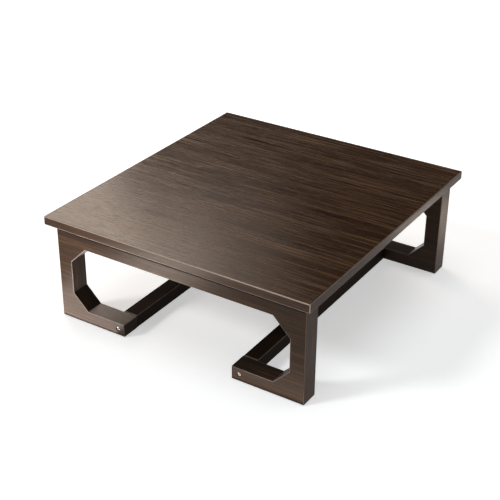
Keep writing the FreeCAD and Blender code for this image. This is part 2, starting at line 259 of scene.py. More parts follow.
for name, (place, strength, degrees) in SUNS.items():
    add_lamp(name, "SUN", place, TABLE_FOOT, energy=strength, angle=math.radians(degrees))
for name, (place, (width, height), power) in WINDOWS.items():
    add_lamp(name, "AREA", place, TABLE_MIDDLE, energy=power, shape="RECTANGLE", size=width,
             size_y=height, color=WARM)
for name, ((x, y), (width, depth), power, colour) in CARDS.items():
    place = Vector((x, y, CARD_LIFT))
    add_lamp(name, "AREA", place, place + UPWARDS, energy=power, shape="RECTANGLE", size=width,
             size_y=depth, color=colour)

# %% [markdown]
# ## The grain of walnut
# Walnut is dark brown, with long streaks of lighter and darker fibre along the grain, slow changes of
# tone across it, and short dark pores. It could be painted as a picture, but a picture would need mapping
# onto each piece. A solid pattern in object space needs none: every piece sits in the same frame, so the
# grain has its real size everywhere. Noise stretched along the grain makes the streaks, at three widths,
# and a threshold on a finer one makes the pores.

# %% Directions of the grain
# How each grain direction is turned to the X axis, along which the patterns are stretched.
GRAIN_TURN = {"X": (0, 0, 0), "Y": (0, 0, -math.pi / 2), "Z": (0, math.pi / 2, 0)}


def grain_vector(tree, grain):
    """Object coordinates, turned so that the grain runs along X."""
    place = add_node(tree, "ShaderNodeTexCoord")
    return add_node(tree, "ShaderNodeMapping", {
        "Vector": place.outputs["Object"], "Rotation": GRAIN_TURN[grain]})


def opening_vector(tree):
    """Coordinates for the band round the opening, which bends in the XZ plane. The length along it is x
    times the normal's z less z times the normal's x, so the grain follows every bend."""
    place = add_node(tree, "ShaderNodeTexCoord")
    at = add_node(tree, "ShaderNodeSeparateXYZ", {0: place.outputs["Object"]})
    flat = add_node(tree, "ShaderNodeVectorMath", {0: place.outputs["Normal"], 1: (1, 0, 1)},
                    operation="MULTIPLY")
    facing = add_node(tree, "ShaderNodeVectorMath", {0: flat}, operation="NORMALIZE")
    normal = add_node(tree, "ShaderNodeSeparateXYZ", {0: facing})
    minus = add_node(tree, "ShaderNodeMath", {0: at.outputs["Z"], 1: normal.outputs["X"]},
                     operation="MULTIPLY")
    plus = add_node(tree, "ShaderNodeMath", {0: at.outputs["X"], 1: normal.outputs["Z"]},
                    operation="MULTIPLY")
    along = add_node(tree, "ShaderNodeMath", {0: plus, 1: minus}, operation="SUBTRACT")
    return add_node(tree, "ShaderNodeCombineXYZ", {"X": along, "Y": at.outputs["Y"]})


print("straight grains along:", list(GRAIN_TURN))

# %% Sizes of the grain
# Length along the grain and width across it. Real pores are a fifth of a millimetre wide and 5 mm long.
# They and the fibres are drawn several times as coarse, because they would not show otherwise.
WAVINESS = {"size_mm": (420, 90), "detail": 1.0}
WAVINESS_SHIFT_MM = 2
TONE = {"size_mm": (300, 24), "detail": 2.0}
STREAK = {"size_mm": (230, 5.4), "detail": 2.0, "roughness": 0.6}
FIBRE = {"size_mm": (110, 3.0), "detail": 2.0, "roughness": 0.6}
PORE = {"size_mm": (30, 2.0), "detail": 1.0}


def stretched_noise(tree, vector, size_mm, detail, roughness=0.5):
    """Noise of a given length along the grain and width across it."""
    length, width = size_mm
    at = add_node(tree, "ShaderNodeMapping", {
        "Vector": vector, "Scale": (1 / (length * MM), 1 / (width * MM), 1 / (width * MM))})
    return add_node(tree, "ShaderNodeTexNoise", {
        "Vector": at, "Scale": 1.0, "Detail": detail, "Roughness": roughness})


def bent_grain(tree, vector):
    """Grain coordinates that wander a little from side to side, as fibres do."""
    wave = stretched_noise(tree, vector, **WAVINESS)
    centred = add_node(tree, "ShaderNodeVectorMath", {0: wave.outputs["Color"], 1: (0.5, 0.5, 0.5)},
                       operation="SUBTRACT")
    shift = 2 * WAVINESS_SHIFT_MM * MM
    return add_node(tree, "ShaderNodeVectorMath", {0: centred, 1: (0, shift, shift), 2: vector},
                    operation="MULTIPLY_ADD")


def weighted_sum(tree, parts):
    """Adds up values, each times its weight."""
    total = 0.0
    for value, weight in parts:
        total = add_node(tree, "ShaderNodeMath", {0: value, 1: weight, 2: total}, operation="MULTIPLY_ADD")
    return total


print("streaks", STREAK["size_mm"], "mm, pores", PORE["size_mm"], "mm")

# %% [markdown]
# ## Pale edges
# The rounded edges read as thin pale lines. Their pale colour is partly wear, where sanding and handling
# take stain off, and partly a painted highlight, where the rounded edges catch the light. The painted
# highlight fades on edges that face downwards, away from the lamps. A painted mask would have to be drawn
# for each piece. The direction that the surface faces does it for all: a flat face looks along one axis,
# and only a rounded edge looks between two.

# %% Finding the rounded edges
# The largest part of the normal along an axis. Above the first a face is flat, and below the second it is
# all edge.
FLAT_FACE, FULL_EDGE = 0.999, 0.96
# How far the painted highlight fades on edges that face downwards.
FADE_UNDERNEATH = 0.5


def arris_mask(tree, round_opening, lowest):
    """One on rounded edges and nought on flat faces. It fades underneath, where a surface looks lower than
    a given slope. The opening's faces slant in the XZ plane, so there the two directions in that plane
    count as one, and nothing fades."""
    place = add_node(tree, "ShaderNodeTexCoord")
    facing = add_node(tree, "ShaderNodeVectorMath", {0: place.outputs["Normal"]}, operation="ABSOLUTE")
    part = add_node(tree, "ShaderNodeSeparateXYZ", {0: facing})
    across = part.outputs["Y"]
    if round_opening:
        square = add_node(tree, "ShaderNodeMath", {0: across, 1: 2.0}, operation="POWER")
        rest = add_node(tree, "ShaderNodeMath", {0: 1.0, 1: square}, operation="SUBTRACT")
        in_plane = add_node(tree, "ShaderNodeMath", {0: rest}, operation="SQRT")
    else:
        in_plane = add_node(tree, "ShaderNodeMath", {0: part.outputs["X"], 1: part.outputs["Z"]},
                            operation="MAXIMUM")
    most = add_node(tree, "ShaderNodeMath", {0: in_plane, 1: across}, operation="MAXIMUM")
    edge = add_node(tree, "ShaderNodeMapRange", {
        "Value": most, "From Min": FLAT_FACE, "From Max": FULL_EDGE}, interpolation_type="SMOOTHSTEP")
    if round_opening:
        return edge
    height = add_node(tree, "ShaderNodeSeparateXYZ", {0: place.outputs["Normal"]})
    above = add_node(tree, "ShaderNodeMapRange", {
        "Value": height.outputs["Z"], "From Min": lowest - FADE_UNDERNEATH, "From Max": lowest})
    return add_node(tree, "ShaderNodeMath", {0: edge, 1: above}, operation="MULTIPLY")


print("an edge is pale from a slope of", round(math.degrees(math.acos(FLAT_FACE)), 1), "degrees")

# %% [markdown]
# ## Lines at the joints
# Two lines mark the joints, and both are painted light. The rails carry a painted highlight on their upper
# faces where they meet the feet. The heads of the frames, hidden under the overhang, are painted near-black
# and rough as painted shade, and from above they show as the dark line that parts the top from the frame.
# Both are found by their place, which comes from the frame.

# %% Finding the joints
RAIL_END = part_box("right_floor_rail")[1].y
# How far from its ends a rail's upper face carries a painted highlight.
END_HIGHLIGHT_LENGTH = 3.2 * MM
FRAME_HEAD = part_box("back_leg_frame")[1].z
# How deep under the top the frame heads are painted near-black, as painted shade.
SHADED_HEAD_DEPTH = 15 * MM
HEAD_FADE = 0.5 * MM


def rail_end_highlight_mask(tree):
    """One on the upper face of a rail close to its ends, where a painted highlight goes, and nought
    elsewhere.
    """
    place = add_node(tree, "ShaderNodeTexCoord")
    at = add_node(tree, "ShaderNodeSeparateXYZ", {0: place.outputs["Object"]})
    along = add_node(tree, "ShaderNodeMath", {0: at.outputs["Y"]}, operation="ABSOLUTE")
    end = add_node(tree, "ShaderNodeMath", {0: along, 1: RAIL_END - END_HIGHLIGHT_LENGTH}, operation="GREATER_THAN")
    facing = add_node(tree, "ShaderNodeSeparateXYZ", {0: place.outputs["Normal"]})
    return add_node(tree, "ShaderNodeMath", {0: end, 1: facing.outputs["Z"]}, operation="MINIMUM")


def frame_head_shade_mask(tree):
    """One on the head of a leg frame, where painted shade goes, and nought below it."""
    place = add_node(tree, "ShaderNodeTexCoord")
    height = add_node(tree, "ShaderNodeSeparateXYZ", {0: place.outputs["Object"]})
    shaded_from = FRAME_HEAD - SHADED_HEAD_DEPTH
    return add_node(tree, "ShaderNodeMapRange", {
        "Value": height.outputs["Z"], "From Min": shaded_from - HEAD_FADE, "From Max": shaded_from})


print("in mm: rails end at y", round(RAIL_END / MM, 1), "and frames at z", round(FRAME_HEAD / MM, 1))

# %% [markdown]
# ## Three finishes of wood
# The top has a walnut face under lacquer. The frames and the bands have walnut under a duller satin coat;
# the bands that face the sides have a lighter copy of it, as painted light, and the band round the opening
# a darker copy, as painted shade. The rails are stained nearly black and have no lacquer, so they hardly
# shine, and the ends of the feet are painted the same near-black, as painted shade. Pale fibres stand a
# little proud and scatter more light than dark ones, so the sheen is streaked like the grain, and the pores
# stay as fine dents. One function makes all of these woods, since they differ in little more than colours,
# gloss and roughness.

# %% Depth, pores and relief of the grain
# How much tone, streaks and fibres count in the depth of the brown.
DEPTH_WEIGHTS = (0.12, 0.46, 0.42)
# How far streaks and fibres stand proud, and pores lie below.
RELIEF_WEIGHTS = (0.6, 0.4, -0.5)
PORE_START, PORE_FULL = 0.60, 0.75


def grain_patterns(tree, vector):
    """How pale the brown is, where the pores are, and how high the surface stands."""
    layers = (TONE, STREAK, FIBRE, PORE)
    tone, streak, fibre, pore = [stretched_noise(tree, vector, **layer) for layer in layers]
    pores = add_node(tree, "ShaderNodeMapRange", {
        "Value": pore, "From Min": PORE_START, "From Max": PORE_FULL})
    depth = weighted_sum(tree, zip((tone, streak, fibre), DEPTH_WEIGHTS))
    relief = weighted_sum(tree, zip((streak, fibre, pores), RELIEF_WEIGHTS))
    return depth, pores, relief


print("weights of tone, streaks and fibres:", DEPTH_WEIGHTS)

# %% How a wood is made
STAIN = [(0.30, "#100a06"), (0.44, "#1b120b"), (0.56, "#261a11"), (0.72, "#3a2a1d")]
DARK_FIBRE, PALE_FIBRE = 0.38, 0.62
RELIEF_MM = 0.18
WOOD_IOR = 1.5
# How rough the painted shade on the frame heads makes the wood, which dulls the sheen there.
SHADED_HEAD_ROUGHNESS = 0.5


def wood(name, grain, browns, edge, roughness, gloss, shaded_head=False, end_highlights=False):
    """A wood with its grain along an axis or round the opening. edge holds the colour of its pale edges,
    partly wear and partly a painted highlight, how strong they are and how low they go. roughness is a
    range, from dark fibres to pale ones. On the head of a frame, where the top's overhang covers it,
    painted shade makes the wood near-black and rough. On the ends of a rail, a painted highlight makes the
    wood pale like the rounded edges."""
    material, tree = new_material(name)
    edge_hex, edge_strength, edge_lowest = edge
    round_opening = grain == "opening"
    straight = opening_vector(tree) if round_opening else grain_vector(tree, grain)
    depth, pores, relief = grain_patterns(tree, bent_grain(tree, straight))
    brown = add_node(tree, "ShaderNodeValToRGB", {"Fac": depth}, stops=browns)
    porous = add_node(tree, "ShaderNodeMix", {"Factor": pores, "A": brown, "B": linear(browns[0][1])},
                      data_type="RGBA")
    # The pale edges are partly wear and partly a painted highlight.
    edge_wear_and_highlight = arris_mask(tree, round_opening, edge_lowest)
    # Painted highlight on the rail ends, where they meet the feet.
    if end_highlights:
        edge_wear_and_highlight = add_node(tree, "ShaderNodeMath", {0: edge_wear_and_highlight, 1: rail_end_highlight_mask(tree)}, operation="MAXIMUM")
    pale = add_node(tree, "ShaderNodeMath", {0: edge_wear_and_highlight, 1: edge_strength}, operation="MULTIPLY")
    wear_and_painted_light = add_node(tree, "ShaderNodeMix", {
        "Factor": pale, "A": porous.outputs["Result"], "B": linear(edge_hex)}, data_type="RGBA")
    rough = add_node(tree, "ShaderNodeMapRange", {
        "Value": depth, "From Min": DARK_FIBRE, "From Max": PALE_FIBRE, "To Min": roughness[0],
        "To Max": roughness[1]})
    # Painted shade: the frame heads under the overhang are painted near-black and rough.
    if shaded_head:
        head = frame_head_shade_mask(tree)
        wear_and_painted_light = add_node(tree, "ShaderNodeMix", {
            "Factor": head, "A": wear_and_painted_light.outputs["Result"], "B": linear(STAIN[0][1])}, data_type="RGBA")
        rough = weighted_sum(tree, [(head, SHADED_HEAD_ROUGHNESS), (rough, 1.0)])
    dents = add_node(tree, "ShaderNodeBump", {
        "Height": relief, "Strength": 1.0, "Distance": RELIEF_MM * MM})
    surface = add_node(tree, "ShaderNodeBsdfPrincipled", {
        "Base Color": wear_and_painted_light.outputs["Result"], "Roughness": rough, "IOR": WOOD_IOR,
        "Specular IOR Level": gloss, "Normal": dents})
    add_node(tree, "ShaderNodeOutputMaterial", {"Surface": surface})
    return material


print("stain runs from", STAIN[0][1], "to", STAIN[-1][1])

# %% The woods of the table
TOP_WALNUT = [(0.36, "#1d1007"), (0.46, "#2d1b0c"), (0.54, "#3d2814"), (0.65, "#58412d")]
FRAME_WALNUT = [(0.36, "#26180d"), (0.46, "#301f12"), (0.54, "#392616"), (0.65, "#493524")]
# A lighter copy of the walnut for the bands that face the sides, as painted light.
SIDE_LIT_WALNUT = [(0.36, "#2a1a0d"), (0.46, "#362213"), (0.54, "#412b1a"), (0.65, "#573f2b")]
# A darker copy of the walnut for the band round the opening, as painted shade.
SHADED_OPENING_WALNUT = [(0.38, "#110a05"), (0.47, "#20140b"), (0.53, "#2e1e12"), (0.62, "#493424")]
# Lacquer mirrors the window as a streaked sheen, satin shows it as a soft glow, and bare stain hardly
# shows it.
LACQUER = (0.18, 0.31)
SATIN = (0.30, 0.40)
MATT = (0.60, 0.75)
# The colour of a pale edge, partly wear and partly a painted highlight, how strong it is, and the lowest
# slope at which it is still full.
TOP_EDGE = ("#cbb9ac", 0.66, -0.26)
FRAME_EDGE = ("#8a7c73", 0.55, -0.2)
RAIL_EDGE = ("#86756a", 0.75, -0.2)
finishes = {
    "top": wood("lacquered_walnut_top", "X", TOP_WALNUT, TOP_EDGE, LACQUER, gloss=0.40),
    "top_band_x": wood("walnut_top_band_lengthwise", "X", FRAME_WALNUT, TOP_EDGE, SATIN, gloss=0.19),
    "top_band_y": wood("walnut_top_band_crosswise", "Y", SIDE_LIT_WALNUT, FRAME_EDGE, SATIN, gloss=0.10),
    # The frames carry painted shade on their heads.
    "frame": wood("satin_walnut_frame", "X", FRAME_WALNUT, FRAME_EDGE, SATIN, gloss=0.15, shaded_head=True),
    # The ends of the feet are painted near-black, as painted shade.
    "foot_end": wood("painted_shade_foot_end_band", "Y", STAIN, FRAME_EDGE, MATT, gloss=0.10),
    "band_z": wood("satin_walnut_edge_band_upright", "Z", SIDE_LIT_WALNUT, FRAME_EDGE, SATIN, gloss=0.08),
    "opening": wood("satin_walnut_edge_band_round_opening", "opening", SHADED_OPENING_WALNUT, FRAME_EDGE, SATIN,
                    gloss=0.36),
    # The rails carry a painted highlight at their ends.
    "rail": wood("dark_stained_rail_wood", "Y", STAIN, RAIL_EDGE, MATT, gloss=0.05, end_highlights=True),
}
print("woods:", [material.name for material in finishes.values()])

# %% Wood on the pieces
FINISH_OF = {"tabletop_panel": "top"}
for end in ("front", "back"):
    FINISH_OF[f"{end}_leg_frame"] = "frame"
    FINISH_OF[f"{end}_opening_band"] = "opening"
    FINISH_OF[f"top_edge_band_{end}"] = "top_band_x"
    for hand in ("left", "right"):
        FINISH_OF[f"{end}_{hand}_side_band"] = "band_z"
        FINISH_OF[f"{end}_{hand}_foot_end_band"] = "foot_end"
for hand in ("left", "right"):
    FINISH_OF[f"top_edge_band_{hand}"] = "top_band_y"
    FINISH_OF[f"{hand}_floor_rail"] = "rail"


def dress(piece_name, material):
    """Gives a piece of the frame its material."""
    slots = pieces[piece_name].data.materials
    slots.clear()
    slots.append(material)


for piece_name, finish in FINISH_OF.items():
    dress(piece_name, finishes[finish])
print("pieces in walnut and stained wood:", len(FINISH_OF))

# %% [markdown]
# ## Metal, dowel wood and felt
# The bolts and barrel nuts are zinc-plated steel: bright, slightly blue, with faint clouds where the
# plating is thicker. The threaded inserts are turned brass, the dowels plain beech, and the pads pressed
# felt. Each is a short graph: a colour that varies with noise, a roughness to match and a fine bump.

# %% The small materials
CLOUD_DETAIL = 4.0
CLOUD_LOW, CLOUD_HIGH = 0.3, 0.7
CLOUD_BUMP = 0.4


def small_finish(name, size_mm, colours, roughness, metallic=0.0, bump_mm=0.02, sheen=0.0):
    """A material whose colour, roughness and relief all follow one noise of a given size."""
    material, tree = new_material(name)
    place = add_node(tree, "ShaderNodeTexCoord")
    at = add_node(tree, "ShaderNodeMapping", {
        "Vector": place.outputs["Object"], "Scale": [1 / (s * MM) for s in size_mm]})
    cloud = add_node(tree, "ShaderNodeTexNoise", {"Vector": at, "Scale": 1.0, "Detail": CLOUD_DETAIL})
    colour = add_node(tree, "ShaderNodeValToRGB", {"Fac": cloud},
                      stops=[(CLOUD_LOW, colours[0]), (CLOUD_HIGH, colours[1])])
    rough = add_node(tree, "ShaderNodeMapRange", {
        "Value": cloud, "From Min": CLOUD_LOW, "From Max": CLOUD_HIGH, "To Min": roughness[0],
        "To Max": roughness[1]})
    relief = add_node(tree, "ShaderNodeBump", {
        "Height": cloud, "Strength": CLOUD_BUMP, "Distance": bump_mm * MM})
    surface = add_node(tree, "ShaderNodeBsdfPrincipled", {
        "Base Color": colour, "Metallic": metallic, "Roughness": rough, "Sheen Weight": sheen,
        "Normal": relief})
    add_node(tree, "ShaderNodeOutputMaterial", {"Surface": surface})
    return material


# Plated steel is bright, with a soft edge to its reflections. The clouds of the plating are 2 mm wide.
zinc = small_finish("bright_zinc_plated_steel", (2, 2, 2), ("#b9bbbd", "#e2e3e4"), (0.28, 0.42),
                    metallic=1.0)
# Turned brass keeps rings from the tool, drawn here 0.8 mm apart along its axis.
brass = small_finish("turned_brass", (8, 8, 0.8), ("#b08d45", "#d9bd78"), (0.25, 0.40), metallic=1.0)
# Beech is pale and flecked, its rays short and fine.
beech = small_finish("planed_beech", (1.2, 9, 1.2), ("#c19a6b", "#ddbd92"), (0.55, 0.70))
# Pressed felt is matt and fuzzy, of fibres drawn 0.9 mm wide, and its nap catches light at the rim.
felt = small_finish("pressed_wool_felt", (0.9, 0.9, 0.9), ("#2b2622", "#4a433c"), (0.90, 1.0),
                    bump_mm=0.3, sheen=0.4)
dress("rail_barrel_nuts", zinc)
dress("top_threaded_inserts", brass)
print("small finishes:", [material.name for material in (zinc, brass, beech, felt)])

# %% [markdown]
# ## Fixings on points
# Bolts, dowels and pads repeat, so each is a Geometry Nodes tree with named sizes. A tree shapes one
# fixing, puts it on every point that it is given, turned to the direction that the point carries, and
# ends as one plain mesh. The points are the places that the frame's own fixings have.

# %% Helpers for the trees
LENGTH, COUNT, SEED = "NodeSocketFloat", "NodeSocketInt", "NodeSocketFloat"


def new_tree(name, sizes):
    """A Geometry Nodes tree with named inputs: points, lengths, counts or a seed, and a finish."""
    tree = bpy.data.node_groups.new(name, "GeometryNodeTree")
    tree.interface.new_socket("Points", in_out="INPUT", socket_type="NodeSocketGeometry")
    for size_name, socket_type in sizes.items():
        tree.interface.new_socket(size_name, in_out="INPUT", socket_type=socket_type)
    tree.interface.new_socket("Finish", in_out="INPUT", socket_type="NodeSocketMaterial")
    tree.interface.new_socket("Result", in_out="OUTPUT", socket_type="NodeSocketGeometry")
    return tree, add_node(tree, "NodeGroupInput").outputs


def draw_out(tree, mesh, face, length, narrowing):
    """Draws a face out by a length, then scales the new end. Returns the mesh and the end face."""
    out = add_node(tree, "GeometryNodeExtrudeMesh", {
        "Mesh": mesh, "Selection": face, "Offset Scale": length, "Individual": False})
    scaled = add_node(tree, "GeometryNodeScaleElements", {
        "Geometry": out, "Selection": out.outputs["Top"], "Scale": narrowing})
    return scaled, out.outputs["Top"]


def push_out(tree, mesh, amount):
    """Moves the points of an upright shape out from its axis by an amount."""
    position = add_node(tree, "GeometryNodeInputPosition")
    flat = add_node(tree, "ShaderNodeVectorMath", {0: position, 1: (1, 1, 0)}, operation="MULTIPLY")
    outward = add_node(tree, "ShaderNodeVectorMath", {0: flat}, operation="NORMALIZE")
    offset = add_node(tree, "ShaderNodeVectorMath", {0: outward, "Scale": amount}, operation="SCALE")
    return add_node(tree, "GeometryNodeSetPosition", {"Geometry": mesh, "Offset": offset})


def put_on_points(tree, given, shape):
    """The shape on every point, turned to its outward direction, as real geometry."""
    outward = add_node(tree, "GeometryNodeInputNamedAttribute", {"Name": "outward"},
                       data_type="FLOAT_VECTOR")
    turned = add_node(tree, "FunctionNodeAlignRotationToVector", {"Vector": outward}, axis="Z")
    placed = add_node(tree, "GeometryNodeInstanceOnPoints", {
        "Points": given["Points"], "Instance": shape, "Rotation": turned})
    return add_node(tree, "GeometryNodeRealizeInstances", {"Geometry": placed})


def end_tree(tree, given, shape):
    """Sets the finish and hands the shape over."""
    finished = add_node(tree, "GeometryNodeSetMaterial", {"Geometry": shape, "Material": given["Finish"]})
    add_node(tree, "NodeGroupOutput", {"Result": finished})
    print(tree.name, "tree:", len(tree.nodes), "nodes")


# %% Places in the frame, and a helper that runs a tree
SIDES = (-1, 1)
rail_low, rail_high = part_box("right_floor_rail")
RAIL_X = (rail_low.x + rail_high.x) / 2
RAIL_Z = (rail_low.z + rail_high.z) / 2
frame_low, frame_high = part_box("back_leg_frame")
FRAME_Y = (frame_low.y + frame_high.y) / 2
LEG_X = (frame_high.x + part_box("back_opening_band")[1].x) / 2


def make_from_points(name, tree, points, sizes):
    """Runs a tree on points, each a place and an outward direction. The result is a plain piece that stands
    for the node of that name."""
    carrier_mesh = bpy.data.meshes.new(name + "_points")
    carrier_mesh.from_pydata([place for place, _ in points], [], [])
    directions = carrier_mesh.attributes.new("outward", "FLOAT_VECTOR", "POINT")
    directions.data.foreach_set("vector", [c for _, direction in points for c in direction])
    carrier = bpy.data.objects.new(name + "_points", carrier_mesh)
    bpy.context.scene.collection.objects.link(carrier)
    modifier = carrier.modifiers.new(tree.name, "NODES")
    modifier.node_group = tree
    for socket in tree.interface.items_tree:
        if socket.name in sizes:
            modifier[socket.identifier] = sizes[socket.name]
    ready = carrier.evaluated_get(bpy.context.evaluated_depsgraph_get())
    solid = bpy.data.meshes.new_from_object(ready)
    carrier.modifiers.clear()
    bpy.data.objects.remove(carrier)
    piece = bpy.data.objects.new(name + "_dressed", solid)
    bpy.context.scene.collection.objects.link(piece)
    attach(piece, "root")
    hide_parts(name)
    print(name, "on", len(points), "points:", len(solid.polygons), "faces")
    return piece


print("in mm: rails at x", round(RAIL_X / MM, 1), "legs at x", round(LEG_X / MM, 1), "frames at y",
      round(FRAME_Y / MM, 1))

# %% [markdown]
# ## Bolts
# Ten bolts hold the table: four through the feet into the rails, and six up through the aprons into the
# top. Each has a knurled round head with a hexagon socket. The tree starts from a cylinder just below the
# point, dents every other edge of it for the knurl, draws its top out to an eased edge that ends at the
# point, draws the shank out of its underside, and cuts the socket.

# %% The bolt tree: the head
bolt_tree, bolt = new_tree("socket_head_bolts", {
    "Head Radius": LENGTH, "Head Height": LENGTH, "Eased Edge": LENGTH, "Knurls": COUNT,
    "Knurl Depth": LENGTH, "Shank Radius": LENGTH, "Shank Length": LENGTH, "Socket Radius": LENGTH,
    "Socket Depth": LENGTH})
knurl_sides = add_node(bolt_tree, "ShaderNodeMath", {0: bolt["Knurls"], 1: 2.0}, operation="MULTIPLY")
side_height = add_node(bolt_tree, "ShaderNodeMath", {0: bolt["Head Height"], 1: bolt["Eased Edge"]},
                       operation="SUBTRACT")
head = add_node(bolt_tree, "GeometryNodeMeshCylinder", {
    "Vertices": knurl_sides, "Radius": bolt["Head Radius"], "Depth": side_height}, fill_type="NGON")
twice_middle = add_node(bolt_tree, "ShaderNodeMath", {0: bolt["Head Height"], 1: bolt["Eased Edge"]},
                        operation="ADD")
drop = add_node(bolt_tree, "ShaderNodeMath", {0: twice_middle, 1: -0.5}, operation="MULTIPLY")
below_point = add_node(bolt_tree, "ShaderNodeCombineXYZ", {"Z": drop})
seated = add_node(bolt_tree, "GeometryNodeTransform", {"Geometry": head, "Translation": below_point})
index = add_node(bolt_tree, "GeometryNodeInputIndex")
every_other = add_node(bolt_tree, "ShaderNodeMath", {0: index, 1: 2.0}, operation="MODULO")
knurl_in = add_node(bolt_tree, "ShaderNodeMath", {0: bolt["Knurl Depth"], 1: -1.0}, operation="MULTIPLY")
dent = add_node(bolt_tree, "ShaderNodeMath", {0: every_other, 1: knurl_in}, operation="MULTIPLY")
knurled = push_out(bolt_tree, seated, dent)
edge_share = add_node(bolt_tree, "ShaderNodeMath", {0: bolt["Eased Edge"], 1: bolt["Head Radius"]},
                      operation="DIVIDE")
edge_scale = add_node(bolt_tree, "ShaderNodeMath", {0: 1.0, 1: edge_share}, operation="SUBTRACT")
eased, _ = draw_out(bolt_tree, knurled, head.outputs["Top"], bolt["Eased Edge"], edge_scale)
print("bolt head:", len(bolt_tree.nodes), "nodes")

# %% The bolt tree: the shank and the socket
TIP = 1.0 * MM
TIP_NARROWING = 0.72
HEXAGON = 6

shank_share = add_node(bolt_tree, "ShaderNodeMath", {0: bolt["Shank Radius"], 1: bolt["Head Radius"]},
                       operation="DIVIDE")
necked, neck = draw_out(bolt_tree, eased, head.outputs["Bottom"], 0.0, shank_share)
shank_run = add_node(bolt_tree, "ShaderNodeMath", {0: bolt["Shank Length"], 1: TIP}, operation="SUBTRACT")
shanked, shank_end = draw_out(bolt_tree, necked, neck, shank_run, 1.0)
pointed, _ = draw_out(bolt_tree, shanked, shank_end, TIP, TIP_NARROWING)
socket_height = add_node(bolt_tree, "ShaderNodeMath", {0: bolt["Socket Depth"], 1: 2.0},
                         operation="MULTIPLY")
socket_tool = add_node(bolt_tree, "GeometryNodeMeshCylinder", {
    "Vertices": HEXAGON, "Radius": bolt["Socket Radius"], "Depth": socket_height}, fill_type="NGON")
socketed = add_node(bolt_tree, "GeometryNodeMeshBoolean", {"Mesh 1": pointed, "Mesh 2": socket_tool},
                    operation="DIFFERENCE", solver="EXACT")
end_tree(bolt_tree, bolt, put_on_points(bolt_tree, bolt, socketed))

# %% Bolts in the feet and in the aprons
HEAD_RADIUS = 4.25 * MM
HEAD_HEIGHT = 5 * MM
SOCKET_ACROSS = 4 * MM
M5_BOLT = {"Head Radius": HEAD_RADIUS, "Head Height": HEAD_HEIGHT, "Eased Edge": 0.6 * MM, "Knurls": 44,
           "Knurl Depth": 0.16 * MM, "Shank Radius": 2.5 * MM,
           "Socket Radius": SOCKET_ACROSS / math.sqrt(3), "Socket Depth": 2.5 * MM, "Finish": zinc}

foot_bolt_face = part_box("rail_bolts")[1].y
foot_bolt_tip = min(abs(corner.co.y) for corner in pieces["rail_bolts"].data.vertices)
foot_shank = foot_bolt_face - foot_bolt_tip - HEAD_HEIGHT
foot_bolts = [((x * RAIL_X, y * foot_bolt_face, RAIL_Z), (0, y, 0)) for x in SIDES for y in SIDES]
make_from_points("rail_bolts", bolt_tree, foot_bolts, M5_BOLT | {"Shank Length": foot_shank})

apron_low, apron_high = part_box("top_bolts")
apron_bolt_x = apron_high.x - HEAD_RADIUS
apron_shank = apron_high.z - apron_low.z - HEAD_HEIGHT
apron_bolts = [((x, y * FRAME_Y, apron_low.z), (0, 0, -1))
               for x in (-apron_bolt_x, 0, apron_bolt_x) for y in SIDES]
make_from_points("top_bolts", bolt_tree, apron_bolts, M5_BOLT | {"Shank Length": apron_shank})
print("shanks in mm:", round(foot_shank / MM, 1), "and", round(apron_shank / MM, 1), "long")

# %% [markdown]
# ## Dowels
# Beech dowels keep the rails and the top from turning or sliding. They are fluted, so that glue and air
# can get past, and their ends are eased. One tree makes both sizes: the flutes are a wave round the
# cylinder, which costs less than cutting grooves.

# %% The dowel tree
END_NARROWING = 0.82
SIDES_PER_FLUTE = 4.0

dowel_tree, dowel = new_tree("fluted_dowels", {
    "Radius": LENGTH, "Length": LENGTH, "Flutes": COUNT, "Flute Depth": LENGTH, "Eased End": LENGTH})
both_ends = add_node(dowel_tree, "ShaderNodeMath", {0: dowel["Eased End"], 1: 2.0}, operation="MULTIPLY")
run = add_node(dowel_tree, "ShaderNodeMath", {0: dowel["Length"], 1: both_ends}, operation="SUBTRACT")
flute_sides = add_node(dowel_tree, "ShaderNodeMath", {0: dowel["Flutes"], 1: SIDES_PER_FLUTE},
                       operation="MULTIPLY")
rod = add_node(dowel_tree, "GeometryNodeMeshCylinder", {
    "Vertices": flute_sides, "Radius": dowel["Radius"], "Depth": run}, fill_type="NGON")
position = add_node(dowel_tree, "GeometryNodeInputPosition")
part = add_node(dowel_tree, "ShaderNodeSeparateXYZ", {0: position})
angle = add_node(dowel_tree, "ShaderNodeMath", {0: part.outputs["Y"], 1: part.outputs["X"]},
                 operation="ARCTAN2")
turns = add_node(dowel_tree, "ShaderNodeMath", {0: angle, 1: dowel["Flutes"]}, operation="MULTIPLY")
wave = add_node(dowel_tree, "ShaderNodeMath", {0: turns}, operation="COSINE")
below = add_node(dowel_tree, "ShaderNodeMath", {0: wave, 1: 1.0}, operation="SUBTRACT")
half_depth = add_node(dowel_tree, "ShaderNodeMath", {0: dowel["Flute Depth"], 1: 0.5}, operation="MULTIPLY")
groove = add_node(dowel_tree, "ShaderNodeMath", {0: below, 1: half_depth}, operation="MULTIPLY")
fluted = push_out(dowel_tree, rod, groove)
one_end, _ = draw_out(dowel_tree, fluted, rod.outputs["Top"], dowel["Eased End"], END_NARROWING)
two_ends, _ = draw_out(dowel_tree, one_end, rod.outputs["Bottom"], dowel["Eased End"], END_NARROWING)
end_tree(dowel_tree, dowel, put_on_points(dowel_tree, dowel, two_ends))

# %% Dowels in the rails and in the legs
RAIL_DOWEL_RADIUS = 3 * MM
LEG_DOWEL_RADIUS = 4 * MM

